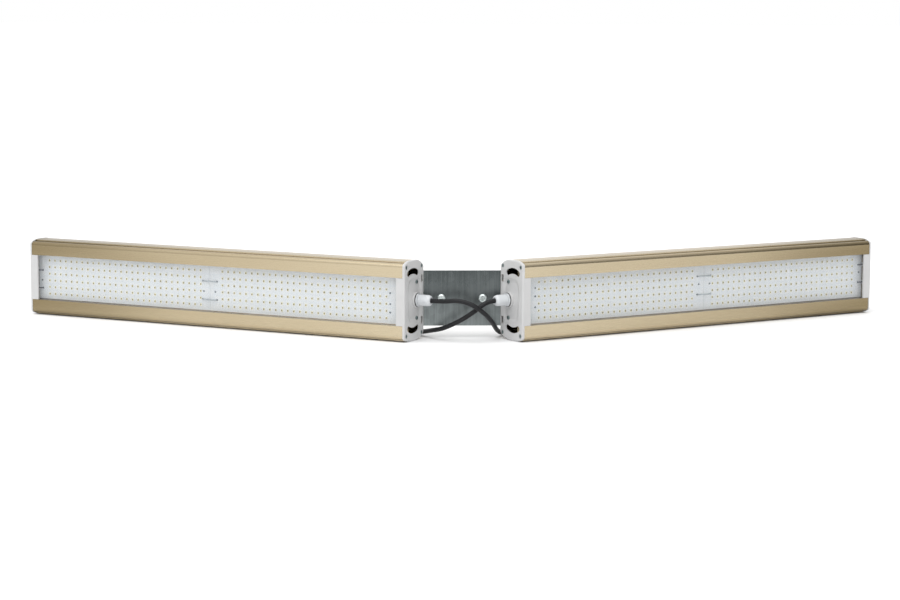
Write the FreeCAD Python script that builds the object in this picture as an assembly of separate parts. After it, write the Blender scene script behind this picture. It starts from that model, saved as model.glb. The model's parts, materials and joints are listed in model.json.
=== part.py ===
"""LED grow light: two aluminium light bars held in a shallow V by one bent galvanised plate.

Millimetres. X runs along the pair, Y goes from the lit side to the back, Z is up. The origin is
under the middle of the pair, on the surface that the light stands on. Each bar is drawn in its own
frame first: X from its inner end face outwards, Y from its lit face to its back, Z from its middle.
Both bars are the same product, so the left one is the right one turned over, not mirrored.
"""
import FreeCAD, Part
import math
import os

Vec = FreeCAD.Vector

# ---- the pair ----
BAR_ANGLE = 30.0            # each bar turns back from the plate by this much
BAR_GAP_HALF = 81.2         # middle of the pair to the front corner of an inner end cap
STAND_HEIGHT = 56.4         # bar middle above the surface, half a bar's height over its caps
PAIR_MID_DEPTH = 184.05     # front corner of the inner ends to the middle of the pair's depth

# ---- light bar ----
BAR_LENGTH = 640.0
BAR_DEPTH = 55.5
SIDE_HALF = 56.0            # half height at the flat sides
SIDE_FLAT = (17.0, 33.0)    # the flat part of a side, measured from the lit face
SHOULDER_R = 33.0
CORNER_RUN = 2.0            # how far in from front and back the corner arcs start
WALL = 2.2
WINDOW_HALF = 33.5
WINDOW_WALL = 3.0
SPREADER = (14.0, 17.0)     # wall behind the boards, front and back
FACET = (6.0, 48.0, 53.4)   # its depth, where it starts on the front and where it ends
GROOVE = (6.6, 9.4, 52.0)   # front side, back side and floor
SLOT_Z = 29.25              # T-slots in the back
SLOT_WIDE = 10.0
SLOT_NECK = 5.6
SLOT_T = (48.3, 52.5)       # front and back of a T-slot's wide part

# ---- end caps ----
CAP_PLATE = 3.5
CAP_PROUD = 0.4
CAP_EDGE_R = 2.0
LIP_REACH = 14.0
LIP_THICK = 2.8
DISH_T = (9.0, 50.0)
DISH_HALF = 31.0
DISH_DEPTH = 1.8
DISH_SLOPE = 5.5
VENT_MID = (24.0, 13.9)     # centre of the vent slots' arcs
VENT_R = 27.5
VENT_HALF_WIDTH = 4.1
VENT_HALF_ANGLE = 27.0
VENT_RELIEF = (1.3, 2.2, 4.0)  # behind a slot: where it starts, wider by, longer by (degrees)
CORNER_SCREWS = ((5.2, 47.8), (49.3, 46.8))
MIDDLE_SCREWS = (36.8, 25.3)
CAP_SCREW_R = 1.45
CAP_SCREW_HEAD_R = 2.7

# ---- boards ----
LED_PITCH = 10.0
LED_COLUMNS = 28
LED_ROWS = 6
FIRST_COLUMN = {"inner": 35.5, "outer": 342.9}
BOARD_ENDS = {"inner": (19.9, 327.1), "outer": (327.5, 632.8)}
BOARD_HALF = 32.8
BOARD_THICK = 1.6
LED_SIZE = (2.8, 3.5, 0.8)  # along the bar, across it, thickness
WIRE_Z = (16.8, -9.85)
WIRE_D = 1.8
JUMPER_ENDS = (315.2, 339.4)
SUPPLY_RISE = 634.6         # where the supply wires come up through the spreader
SUPPLY_END = 625.5
WIRE_NOTCH = (633.0, 636.6)
WIRE_T = 30.0               # depth of the wires that run inside the hollow
COVER = (2.7, 4.7, 35.2)    # clear cover: front, back and half height
TRAY_END = 360.0
TRAY_THICK = 1.5
TRAY_HALF = 31.0
DRIVER_ENDS = (72.0, 308.0)
DRIVER_HIGH = 26.0
DRIVER_HALF = 28.0
DRIVER_FEET = ((65.0, 315.0), (-20.0, 20.0))  # places of its screws, along the bar and across
FOOT_THICK = 3.0
BLOCK_LENGTH = 15.0
POLES = (-8.0, 0.0, 8.0)    # heights of the terminal block's poles
ENTRY_END = 40.0            # where the cable ends inside the bar

# ---- gland ----
GLAND_T = 36.0
GLAND_HOLE_R = 8.1
GLAND_THREAD_R = 7.9
GLAND_BOSS_R = 11.2
GLAND_BOSS = 1.0            # how far its boss stands proud of the cap's face
GASKET_R = 9.9
GASKET_THICK = 1.1
COLLAR_END = 4.0            # outward end of the body's collar
GLAND_TIP = 22.3
NUT_START = 4.4
NUT_R = 8.0
NUT_FLATS = 15.2

# ---- bracket ----
PLATE_FRONT = 50.6          # from the inner ends' front corners
PLATE_THICK = 2.5
PLATE_HALF = 38.8
FLANGE_END = 100.0          # along the bar, from its inner end
SLOT_BOLTS_AT = (35.0, 80.0)
CENTRE_BOLT_X = 29.0
CENTRE_BOLT_LENGTH = 25.0

# ---- cables ----
CABLE_D = 6.5
COIL_CENTRE = (113.6, -32.0)
COIL_RADII = (30.0, 43.6)   # where its spiral of two turns ends and starts
TIE_THICK = 0.8
TIE_WIDTH = 5.0
TIE_START = 0.5             # from the spiral's start, along the cable
CORE_D = 2.4
CORE_LENGTH = 22.0
CORE_PLACES = ((-1.23, -0.7), (0.0, 1.42), (1.23, -0.7))  # across the cable's end, and up
CORE_SPREAD = 4.5           # how far apart their tips fan out

NODES = {}


# ---- shapes that several pieces share ----

def box(x, y, z):
    """A box from three (low, high) pairs."""
    return Part.makeBox(x[1] - x[0], y[1] - y[0], z[1] - z[0], Vec(x[0], y[0], z[0]))


def rod(radius, start, end, t, z):
    """A cylinder along the bar from start to end."""
    return Part.makeCylinder(radius, end - start, Vec(start, t, z), Vec(1, 0, 0))


def hex_prism(flats, low, high, centre, axis):
    """A hexagonal prism about an axis through centre, from low to high along it."""
    corner = flats / math.sqrt(3)
    turns = [math.radians(60 * k + 30) for k in range(7)]
    ring = [Vec(corner * math.cos(a), corner * math.sin(a), low) for a in turns]
    prism = Part.Face(Part.makePolygon(ring)).extrude(Vec(0, 0, high - low))
    prism.Placement = FreeCAD.Placement(centre, FreeCAD.Rotation(Vec(0, 0, 1), axis))
    return prism


def cross_recess(centre, axis, span, depth):
    """A cross-shaped driver recess that reaches depth below centre."""
    width = span * 0.24
    arm = Part.makeBox(span, width, depth * 2, Vec(-span / 2, -width / 2, -depth))
    other = Part.makeBox(width, span, depth * 2, Vec(-width / 2, -span / 2, -depth))
    cross = arm.fuse(other)
    cross.Placement = FreeCAD.Placement(centre, FreeCAD.Rotation(Vec(0, 0, 1), axis))
    return cross


def rounded(points, share=0.45):
    """Straight runs through points, joined by tangent arcs. Returns the path and its arcs' radii."""
    edges = []
    radii = []
    start = points[0]
    for before, corner, after in zip(points, points[1:], points[2:]):
        back = before - corner
        ahead = after - corner
        half_turn = (math.pi - back.getAngle(ahead)) / 2
        cut = share * min(back.Length, ahead.Length)
        radii.append(cut / math.tan(half_turn))
        back.normalize()
        ahead.normalize()
        enter = corner + back * cut
        leave = corner + ahead * cut
        inward = back + ahead
        inward.normalize()
        reach = radii[-1] / math.cos(half_turn) - radii[-1]
        edges.append(Part.LineSegment(start, enter).toShape())
        edges.append(Part.Arc(enter, corner + inward * reach, leave).toShape())
        start = leave
    edges.append(Part.LineSegment(start, points[-1]).toShape())
    return Part.Wire(edges), radii


def tube(points, diameter):
    """A round solid along the rounded path. Returns it with the path's length and its arcs' radii."""
    path, radii = rounded(points)
    heading = points[1] - points[0]
    section = Part.Wire(Part.makeCircle(diameter / 2, points[0], heading))
    return path.makePipeShell([section], True, False), path.Length, radii


# ---- the bar's outline ----

def side_height(t, proud):
    """Height of the side at depth t: flat in the middle, falling along an arc to front and back."""
    low, high = SIDE_FLAT
    beyond = max(low - t, t - high, 0)
    return SIDE_HALF + proud - SHOULDER_R + math.sqrt(SHOULDER_R ** 2 - beyond ** 2)


def corner_arc(edge_t, join_t, proud):
    """Arc that leaves the side at join_t and ends square on the front or back plane at edge_t."""
    inward = 1 if join_t > edge_t else -1
    flat_end = SIDE_FLAT[0] if inward > 0 else SIDE_FLAT[1]
    slope = math.asin(abs(join_t - flat_end) / SHOULDER_R)
    radius = abs(join_t - edge_t) / (1 - math.sin(slope))
    mid_t = edge_t + inward * radius
    mid_z = side_height(join_t, proud) - radius * math.cos(slope)
    middle = (math.pi / 2 - slope) / 2
    halfway = (mid_t - inward * radius * math.cos(middle), mid_z + radius * math.sin(middle))
    return (join_t, side_height(join_t, proud)), halfway, (edge_t, mid_z)


def arc_edge(*points):
    return Part.Arc(*[Vec(0, t, z) for t, z in points]).toShape()


def line_edge(*points):
    return Part.LineSegment(*[Vec(0, t, z) for t, z in points]).toShape()


def shoulder(start_t, end_t, proud):
    """The side's arc between two depths on one shoulder."""
    middle_t = (start_t + end_t) / 2
    return arc_edge(*[(t, side_height(t, proud)) for t in (start_t, middle_t, end_t)])


def outline(proud, front_edges, front_low):
    """Closed face of the bar's outline, from the edges of its upper front corner."""
    back_t = BAR_DEPTH + proud
    join_t = back_t - CORNER_RUN
    back = corner_arc(back_t, join_t, proud)
    upper = front_edges + [
        line_edge((SIDE_FLAT[0], SIDE_HALF + proud), (SIDE_FLAT[1], SIDE_HALF + proud)),
        shoulder(SIDE_FLAT[1], join_t, proud),
        arc_edge(*back),
    ]
    lower = [edge.mirror(Vec(0, 0, 0), Vec(0, 0, 1)) for edge in upper]
    front_t = front_low[0]
    ends = [
        line_edge(front_low, (front_t, -front_low[1])),
        line_edge(back[2], (back_t, -back[2][1])),
    ]
    return Part.Face(Part.Wire(Part.__sortEdges__(upper + lower + ends)))


def cap_outline(proud):
    """Outline with a plain rounded front corner."""
    join_t = CORNER_RUN - proud
    front = corner_arc(-proud, join_t, proud)
    edges = [arc_edge(*front), shoulder(join_t, SIDE_FLAT[0], proud)]
    return outline(proud, edges, front[2])


def housing_outline():
    """Outline with the front facet and the groove behind it."""
    depth, start_z, end_z = FACET
    near, far, floor = GROOVE
    bulge = (depth * 0.3, start_z + (end_z - start_z) * 0.7)
    groove_top = (far, side_height(far, 0))
    edges = [
        arc_edge((0, start_z), bulge, (depth, end_z)),
        line_edge((depth, end_z), (near, floor)),
        line_edge((near, floor), (far, floor)),
        line_edge((far, floor), groove_top),
        shoulder(far, SIDE_FLAT[0], 0),
    ]
    return outline(0, edges, (0, start_z))


# ---- light bar pieces, in the bar's frame ----

def both_sides(make):
    """The same shape above and below the bar's middle."""
    upper = make()
    return [upper, upper.mirror(Vec(0, 0, 0), Vec(0, 0, 1))]


def housing():
    start = CAP_PLATE
    end = BAR_LENGTH - CAP_PLATE
    span = (start, end)
    shift = Vec(start, 0, 0)
    body = housing_outline().translated(shift).extrude(Vec(end - start, 0, 0))
    inner = cap_outline(-WALL).translated(shift).extrude(Vec(end - start, 0, 0))
    inner = inner.common(box(span, (SPREADER[1], BAR_DEPTH), (-SIDE_HALF, SIDE_HALF)))
    solid_parts = []
    for sign in (-1, 1):
        z = sign * SLOT_Z
        solid_parts.append(box(span, (SLOT_T[0] - 2, BAR_DEPTH), (z - 7, z + 7)))
        screw_t, screw_z = CORNER_SCREWS[1]
        solid_parts.append(rod(3.6, start, end, screw_t, sign * screw_z))
    inner = inner.cut(solid_parts)
    cuts = [inner]
    cuts.append(box(span, (-1, SPREADER[0]), (-WINDOW_HALF, WINDOW_HALF)))
    groove = COVER[2] + 0.2
    cuts.append(box(span, (COVER[0] - 0.1, COVER[1] + 0.1), (-groove, groove)))
    low = WINDOW_HALF + WINDOW_WALL
    for sign in (-1, 1):
        pocket = sorted((sign * low, sign * (FACET[1] + 1.4)))
        boss = rod(3.4, start, end, CORNER_SCREWS[0][0], sign * CORNER_SCREWS[0][1])
        cuts.append(box(span, (WALL + 0.2, SPREADER[0]), pocket).cut(boss))
        z = sign * SLOT_Z
        cuts.append(box(span, SLOT_T, (z - SLOT_WIDE / 2, z + SLOT_WIDE / 2)))
        cuts.append(box(span, (SLOT_T[1], BAR_DEPTH + 1), (z - SLOT_NECK / 2, z + SLOT_NECK / 2)))
        for screw_t, screw_z in CORNER_SCREWS:
            cuts.append(rod(CAP_SCREW_R, start, start + 14, screw_t, sign * screw_z))
            cuts.append(rod(CAP_SCREW_R, end - 14, end, screw_t, sign * screw_z))
    for z in WIRE_Z:
        cuts.append(box(WIRE_NOTCH, (SPREADER[0] - 1, SPREADER[1] + 1), (z - 3, z + 3)))
    return body.cut(cuts)


def curved_slot(half_width, half_angle, start):
    """A slot round the vent slots' centre, from start along the bar through a cap's back."""
    t, z = VENT_MID
    limits = (90 - half_angle, 90 + half_angle)
    inner_r = VENT_R - half_width
    outer_r = VENT_R + half_width

    def at(radius, degrees):
        turn = math.radians(degrees)
        return (t + radius * math.cos(turn), z + radius * math.sin(turn))

    edges = []
    for radius in (inner_r, outer_r):
        edges.append(arc_edge(at(radius, limits[0]), at(radius, 90), at(radius, limits[1])))
    lift = math.degrees(half_width / VENT_R)
    for limit, side in zip(limits, (-1, 1)):
        tip = at(VENT_R, limit + side * lift)
        edges.append(arc_edge(at(inner_r, limit), tip, at(outer_r, limit)))
    face = Part.Face(Part.Wire(Part.__sortEdges__(edges)))
    return face.translated(Vec(start, 0, 0)).extrude(Vec(CAP_PLATE + 1 - start, 0, 0))


def vent_slot():
    """One curved vent slot through a cap, above the middle, relieved from behind."""
    start, wider, longer = VENT_RELIEF
    slot = curved_slot(VENT_HALF_WIDTH, VENT_HALF_ANGLE, -1)
    relief = curved_slot(VENT_HALF_WIDTH + wider, VENT_HALF_ANGLE + longer, start)
    return slot.fuse(relief)


def dish():
    """The shallow sloped pocket in a cap's face."""
    rings = []
    for depth, inset in ((-0.3, -DISH_SLOPE * 0.15), (DISH_DEPTH, DISH_SLOPE)):
        low_t, high_t = DISH_T[0] + inset, DISH_T[1] - inset
        half = DISH_HALF - inset
        radius = 12.0 - inset
        pocket = box((depth, depth + 1), (low_t, high_t), (-half, half))
        edges = [e for e in pocket.Edges if e.Length < 1.01]
        pocket = pocket.makeFillet(radius, edges)
        face = min(pocket.Faces, key=lambda f: f.CenterOfMass.x)
        rings.append(face.OuterWire)
    return Part.makeLoft(rings, True)


def gland_boss():
    """The round boss in the dish that the gland's gasket lies on."""
    boss = rod(GLAND_BOSS_R, -GLAND_BOSS, CAP_PLATE, GLAND_T, 0)
    rim = [e for e in boss.Edges if e.BoundBox.XMax < -GLAND_BOSS + 0.01]
    return boss.makeFillet(0.8, rim)


def end_cap(has_gland):
    """An end cap whose outer face lies at X = 0; the plate and its lip reach along +X."""
    plate = cap_outline(CAP_PROUD).extrude(Vec(CAP_PLATE, 0, 0))
    rim = [e for e in plate.Edges if e.BoundBox.XMax < 0.01]
    cap = plate.makeFillet(CAP_EDGE_R, rim)
    lip_half = WINDOW_HALF - 0.3
    lip = box((CAP_PLATE - 0.5, LIP_REACH), (-CAP_PROUD, LIP_THICK - CAP_PROUD), (-lip_half, lip_half))
    far_edges = [e for e in lip.Edges if e.BoundBox.XMin > LIP_REACH - 0.01 and e.BoundBox.YMax < 0]
    cap = cap.fuse(lip.makeFillet(0.8, far_edges)).removeSplitter()
    cuts = both_sides(vent_slot)
    cuts.append(dish())
    for sign in (-1, 1):
        z = sign * SLOT_Z
        cuts.append(box((-1, CAP_PLATE + 1), (SLOT_T[0] - 0.8, SLOT_T[1] + 0.4), (z - 5, z + 5)))
        cuts.append(box((VENT_RELIEF[0], CAP_PLATE + 1), (SLOT_T[0] - 0.8, SLOT_T[1] + 1.6), (z - 5, z + 5)))
        for screw_t, screw_z in CORNER_SCREWS:
            cuts.append(rod(CAP_SCREW_R + 0.2, -1, CAP_PLATE + 1, screw_t, sign * screw_z))
            cuts.append(rod(CAP_SCREW_HEAD_R + 0.25, -1, 1.7, screw_t, sign * screw_z))
        if has_gland:
            screw_t, screw_z = MIDDLE_SCREWS
            cuts.append(rod(CAP_SCREW_R + 0.2, -1, CAP_PLATE + 1, screw_t, sign * screw_z))
            cuts.append(rod(CAP_SCREW_HEAD_R + 0.25, -1, DISH_DEPTH, screw_t, sign * screw_z))
    cap = cap.cut(cuts)
    if has_gland:
        cap = cap.fuse(gland_boss()).cut(rod(GLAND_HOLE_R, -2, CAP_PLATE + 1, GLAND_T, 0))
    return cap.removeSplitter()


def at_outer_end(shape):
    """Turns a piece of the inner end round to the outer end."""
    return shape.mirror(Vec(BAR_LENGTH / 2, 0, 0), Vec(1, 0, 0))


def cap_screw(t, z, face, length):
    """A pan-head screw in from the inner end; face is where the top of its head lies."""
    head = rod(CAP_SCREW_HEAD_R, face, face + 1.6, t, z)
    rim = [e for e in head.Edges if e.BoundBox.XMax < face + 0.01]
    head = head.makeFillet(0.7, rim)
    shank = rod(CAP_SCREW_R, face + 1.6, face + 1.6 + length, t, z)
    recess = cross_recess(Vec(face, t, z), Vec(1, 0, 0), 3.0, 0.8)
    return head.fuse(shank).cut(recess)


def corner_screws():
    screws = []
    for screw_t, screw_z in CORNER_SCREWS:
        screws += both_sides(lambda: cap_screw(screw_t, screw_z, 0.1, 12.0))
    return screws


def middle_screws():
    screw_t, screw_z = MIDDLE_SCREWS
    return both_sides(lambda: cap_screw(screw_t, screw_z, DISH_DEPTH - 1.6, 7.0))


def clear_cover():
    front, back, half = COVER
    return box((CAP_PLATE + 0.2, BAR_LENGTH - CAP_PLATE - 0.2), (front, back), (-half, half))


def led_board(which):
    return box(BOARD_ENDS[which], (SPREADER[0] - BOARD_THICK, SPREADER[0]), (-BOARD_HALF, BOARD_HALF))


def leds(which):
    """Every LED package of one board."""
    length, width, thick = LED_SIZE
    face = SPREADER[0] - BOARD_THICK
    packages = []
    for column in range(LED_COLUMNS):
        x = FIRST_COLUMN[which] + column * LED_PITCH
        for row in range(LED_ROWS):
            z = (row - (LED_ROWS - 1) / 2) * LED_PITCH
            along = (x - length / 2, x + length / 2)
            packages.append(box(along, (face - thick, face), (z - width / 2, z + width / 2)))
    return packages


def jumper_wires():
    """Two short wires that join the boards across their gap."""
    rest = SPREADER[0] - BOARD_THICK - WIRE_D / 2
    start, end = JUMPER_ENDS
    route = [(start, rest), (start + 5.3, rest - 1.6), (end - 5.3, rest - 1.4), (end, rest)]
    return [tube([Vec(x, t, z) for x, t in route], WIRE_D)[0] for z in WIRE_Z]


def supply_wires():
    """Two wires from the driver, along the hollow and up through the spreader to the outer board."""
    rest = SPREADER[0] - BOARD_THICK - WIRE_D / 2
    rise = SUPPLY_RISE
    route = [(DRIVER_ENDS[1], WIRE_T), (rise, WIRE_T), (rise, rest - 3.4), (SUPPLY_END, rest)]
    return [tube([Vec(x, t, z) for x, t in route], WIRE_D)[0] for z in WIRE_Z]


def driver_tray():
    """Steel tray on the spreader, with two ears that the middle cap screws hold."""
    floor = SPREADER[1]
    tray = box((CAP_PLATE, TRAY_END), (floor, floor + TRAY_THICK), (-TRAY_HALF, TRAY_HALF))
    screw_t, screw_z = MIDDLE_SCREWS
    for sign in (-1, 1):
        ear = sorted((sign * 19.5, sign * TRAY_HALF))
        tray = tray.fuse(box((CAP_PLATE, CAP_PLATE + TRAY_THICK), (floor, screw_t + 5.2), ear))
        tray = tray.cut(rod(CAP_SCREW_R, 0, 10, screw_t, sign * screw_z))
    return tray.cut([rod_y(1.5, floor - 1, floor + 3, x, z) for x, z in driver_feet()])


def rod_y(radius, low, high, x, z):
    """A cylinder across the bar's depth."""
    return Part.makeCylinder(radius, high - low, Vec(x, low, z), Vec(0, 1, 0))


def driver_feet():
    along, across = DRIVER_FEET
    return [(x, z) for x in along for z in across]


def driver():
    """Potted LED driver with a thin foot at each end."""
    floor = SPREADER[1] + TRAY_THICK
    case = box(DRIVER_ENDS, (floor, floor + DRIVER_HIGH), (-DRIVER_HALF, DRIVER_HALF))
    case = case.makeFillet(3, [e for e in case.Edges if abs(e.Length - DRIVER_HIGH) < 0.01])
    start, end = DRIVER_ENDS
    foot = box((start - 14, end + 14), (floor, floor + FOOT_THICK), (2 - DRIVER_HALF, DRIVER_HALF - 2))
    case = case.fuse(foot).removeSplitter()
    return case.cut([rod_y(1.7, floor - 1, floor + 4, x, z) for x, z in driver_feet()])


def driver_screws():
    floor = SPREADER[1] + TRAY_THICK
    under = floor + FOOT_THICK
    screws = []
    for x, z in driver_feet():
        head = rod_y(2.8, under, under + 2, x, z)
        head = head.makeFillet(0.9, [e for e in head.Edges if e.BoundBox.YMin > under + 1.9])
        screws.append(head.fuse(rod_y(1.5, floor - 1.4, under, x, z)))
    return screws


def terminal_block():
    floor = SPREADER[1] + TRAY_THICK
    top = GLAND_T + 7
    block = box((ENTRY_END, ENTRY_END + BLOCK_LENGTH), (floor, top), (-13, 13))
    screws = [rod_y(2.2, top - 5, top + 1, ENTRY_END + 7.5, z) for z in POLES]
    return block.cut(screws)


def driver_leads():
    """Three wires from the terminal block to the driver."""
    start = ENTRY_END + BLOCK_LENGTH
    return [rod(WIRE_D / 2, start, DRIVER_ENDS[0], WIRE_T, z) for z in POLES]


# ---- cable gland, in the bar's frame ----

def turned(points):
    """A solid of revolution about the gland's axis from (outward distance, radius) points."""
    ring = [Vec(-out, GLAND_T, radius) for out, radius in points]
    face = Part.Face(Part.makePolygon(ring + [ring[0]]))
    return face.revolve(Vec(0, GLAND_T, 0), Vec(1, 0, 0), 360)


def gland_hex(flats, near, far):
    """A hexagonal prism about the gland's axis between two outward distances."""
    return hex_prism(flats, near, far, Vec(0, GLAND_T, 0), Vec(-1, 0, 0))


def gland_gasket():
    seat = GLAND_BOSS
    end = seat + GASKET_THICK
    return turned([(seat, GLAND_THREAD_R), (seat, GASKET_R), (end, GASKET_R), (end, GLAND_THREAD_R)])


def gland_body():
    seat = GLAND_BOSS + GASKET_THICK
    body = turned([
        (-12.0, 4.8), (-12.0, GLAND_THREAD_R), (seat, GLAND_THREAD_R), (seat, 9.5),
        (COLLAR_END - 0.4, 9.5), (COLLAR_END, 9.1), (COLLAR_END, 6.0), (15.0, 6.0), (15.0, 4.8),
    ])
    collar = gland_hex(18.2, seat, COLLAR_END)
    rest = rod(GLAND_THREAD_R, -15.0, 12.0, GLAND_T, 0)
    return body.common(collar.fuse(rest))


def gland_locknut():
    nut = gland_hex(22.0, -CAP_PLATE - 4.5, -CAP_PLATE)
    return nut.cut(rod(GLAND_THREAD_R, 0, 15, GLAND_T, 0))


def gland_seal():
    return turned([(7.0, CABLE_D / 2), (7.0, 4.75), (18.4, 4.75), (19.0, 4.3), (19.0, CABLE_D / 2)])


def gland_nut():
    """Dome nut: six flats at its base and a round nose."""
    shell = turned([(NUT_START, 6.06), (NUT_START, NUT_R), (15.5, NUT_R), (15.5, 6.06)])
    nose_r = 4.9
    drop = NUT_R - nose_r
    nose = GLAND_TIP - 15.5
    steps = [math.radians(15 * k) for k in range(7)]
    curve = [(15.5 + nose * math.sin(a), nose_r + drop * math.cos(a)) for a in steps]
    dome = turned([(15.5, 5.3), *curve, (GLAND_TIP, 3.75), (19.6, 3.75), (19.6, 5.3)])
    nut = shell.fuse(dome)
    return nut.common(gland_hex(NUT_FLATS, NUT_START, GLAND_TIP)).removeSplitter()


def cable_entry():
    """The end of the cable inside the gland and the hollow."""
    return rod(CABLE_D / 2, -GLAND_TIP, ENTRY_END, GLAND_T, 0)


# ---- fixing hardware ----

def slot_bolt(x, z):
    """M5 hexagon bolt whose head sits in a T-slot."""
    head = hex_prism(8.0, SLOT_T[1] - 3.5, SLOT_T[1], Vec(x, 0, z), Vec(0, 1, 0))
    end = BAR_DEPTH + 10.0
    shank = rod_y(2.5, SLOT_T[1], end, x, z)
    shank = shank.makeChamfer(0.6, [e for e in shank.Edges if e.BoundBox.YMin > end - 0.01])
    return head.fuse(shank)


def slot_nut(x, z):
    """M5 flange nut against the back of the bracket."""
    face = BAR_DEPTH + PLATE_THICK
    flange = rod_y(5.5, face, face + 1.2, x, z)
    nut = hex_prism(8.0, face + 1.2, face + 5.0, Vec(x, 0, z), Vec(0, 1, 0))
    return flange.fuse(nut).cut(rod_y(2.5, face - 1, face + 6, x, z))


def at_slot_bolts(make):
    return [make(x, sign * SLOT_Z) for x in SLOT_BOLTS_AT for sign in (-1, 1)]


def upright_edges(plate, x, y):
    """The plate's upright edges at a depth of y, x to either side of the middle."""
    found = []
    for edge in plate.Edges:
        middle = edge.CenterOfMass
        if abs(abs(middle.x) - x) < 0.1 and abs(middle.y - y) < 0.1 and edge.Length > PLATE_HALF:
            found.append(edge)
    return found


def bracket_plate():
    """Flat centre with a flange bent back along each bar."""
    turn = math.radians(BAR_ANGLE)
    bend_at = (PLATE_FRONT - BAR_DEPTH * math.cos(turn)) / math.sin(turn)
    bend_x = BAR_GAP_HALF + bend_at * math.cos(turn) - BAR_DEPTH * math.sin(turn)
    reach = FLANGE_END - bend_at
    tip = Vec(bend_x + reach * math.cos(turn), PLATE_FRONT + reach * math.sin(turn), 0)
    normal = Vec(-math.sin(turn), math.cos(turn), 0) * PLATE_THICK
    inner_bend = bend_x - PLATE_THICK * math.tan(turn / 2)
    right = [Vec(bend_x, PLATE_FRONT, 0), tip, tip + normal, Vec(inner_bend, PLATE_FRONT + PLATE_THICK, 0)]
    left = [Vec(-p.x, p.y, 0) for p in reversed(right)]
    face = Part.Face(Part.makePolygon(right + left + [right[0]]))
    plate = face.extrude(Vec(0, 0, 2 * PLATE_HALF)).translated(Vec(0, 0, -PLATE_HALF))
    plate = plate.makeFillet(4.0, upright_edges(plate, bend_x, PLATE_FRONT))
    plate = plate.makeFillet(1.5, upright_edges(plate, inner_bend, PLATE_FRONT + PLATE_THICK))
    across = [e for e in plate.Edges if abs(e.Length - PLATE_THICK) < 0.01]
    tips = [e for e in across if abs(e.CenterOfMass.x) > tip.x - 5]
    plate = plate.makeFillet(6.0, tips)
    holes = [rod_y(3.2, 40, 60, x, 0) for x in (-CENTRE_BOLT_X, CENTRE_BOLT_X)]
    return plate.cut(holes).translated(Vec(0, -PAIR_MID_DEPTH, STAND_HEIGHT))


def centre_bolt(x):
    """M6 pan-head machine screw through the plate."""
    head = rod_y(6.0, PLATE_FRONT - 4.4, PLATE_FRONT, x, 0)
    head = head.makeFillet(2.6, [e for e in head.Edges if e.BoundBox.YMax < PLATE_FRONT - 4.3])
    end = PLATE_FRONT + CENTRE_BOLT_LENGTH
    shank = rod_y(3.0, PLATE_FRONT, end, x, 0)
    shank = shank.makeChamfer(0.6, [e for e in shank.Edges if e.BoundBox.YMin > end - 0.01])
    recess = cross_recess(Vec(x, PLATE_FRONT - 4.4, 0), Vec(0, 1, 0), 5.6, 2.2)
    return head.fuse(shank).cut(recess)


def centre_washer(x):
    back = PLATE_FRONT + PLATE_THICK
    return rod_y(6.0, back, back + 1.6, x, 0).cut(rod_y(3.2, back - 1, back + 3, x, 0))


def centre_nut(x):
    face = PLATE_FRONT + PLATE_THICK + 1.6
    nut = hex_prism(10.0, face, face + 5.0, Vec(x, 0, 0), Vec(0, 1, 0))
    return nut.cut(rod_y(3.0, face - 1, face + 6, x, 0))


# ---- placing ----

def placed(shape, side):
    """Moves a bar's piece from the bar's frame to its place in the pair."""
    moved = shape.copy()
    turn = BAR_ANGLE
    gap = BAR_GAP_HALF
    if side == "left":
        moved.rotate(Vec(0, 0, 0), Vec(0, 1, 0), 180)
        turn = -turn
        gap = -gap
    moved.rotate(Vec(0, 0, 0), Vec(0, 0, 1), turn)
    moved.translate(Vec(gap, -PAIR_MID_DEPTH, STAND_HEIGHT))
    return moved


def in_pair(shapes):
    return [s.translated(Vec(0, -PAIR_MID_DEPTH, STAND_HEIGHT)) for s in shapes]


# ---- cables ----

# Routes in the pair's frame from the gland's mouth to the coil: past the plate's lower edge and
# down onto the surface behind the other bar.
ROUTES = {
    "left": [
        (-43.89, -164.02, 56.4), (-26.4, -174.12, 56.4), (-7.5, -182.0, 59.2), (12.0, -187.0, 54.0),
        (28.5, -182.5, 41.5), (39.0, -166.5, 29.0), (45.0, -147.5, 18.6), (50.3, -130.5, 9.8),
        (56.4, -113.5, 5.0), (62.8, -95.0, 3.3), (67.5, -74.0, 3.3), (70.2, -52.0, 3.9),
        (70.0, -32.0, 4.05),
    ],
    "right": [
        (43.89, -164.02, 56.4), (32.5, -170.6, 55.6), (17.5, -174.8, 44.2), (1.5, -174.8, 33.0),
        (-14.5, -167.5, 23.6), (-29.5, -152.5, 15.4), (-42.0, -133.0, 10.9), (-52.5, -115.5, 6.8),
        (-60.5, -97.0, 3.6), (-66.8, -75.0, 3.3), (-70.2, -52.0, 3.9), (-70.0, -32.0, 4.05),
    ],
}
# The end of the left cable, from the coil's centre: out of the inner turn, over the others and down
# onto the surface behind. The right cable's end is longer by one point, and mirrored.
TAIL = [
    (-30.0, 0.0, 4.05), (-28.4, 10.5, 4.6), (-23.4, 20.2, 8.2), (-14.5, 29.0, 11.2), (-2.5, 35.9, 11.4),
    (12.0, 41.2, 11.4), (28.0, 45.8, 7.4), (44.0, 48.5, 3.8), (60.0, 49.5, 3.3),
]
LONGER_BY = (78.0, 48.0, 3.4)


def mirrored(side, x):
    """The left cable's coil is behind the right bar, and the right cable's behind the left one."""
    return x if side == "left" else -x


def tail_route(side):
    points = TAIL if side == "left" else TAIL + [LONGER_BY]
    x, y = COIL_CENTRE
    return [Vec(mirrored(side, x + px), y + py, pz) for px, py, pz in points]


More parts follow.
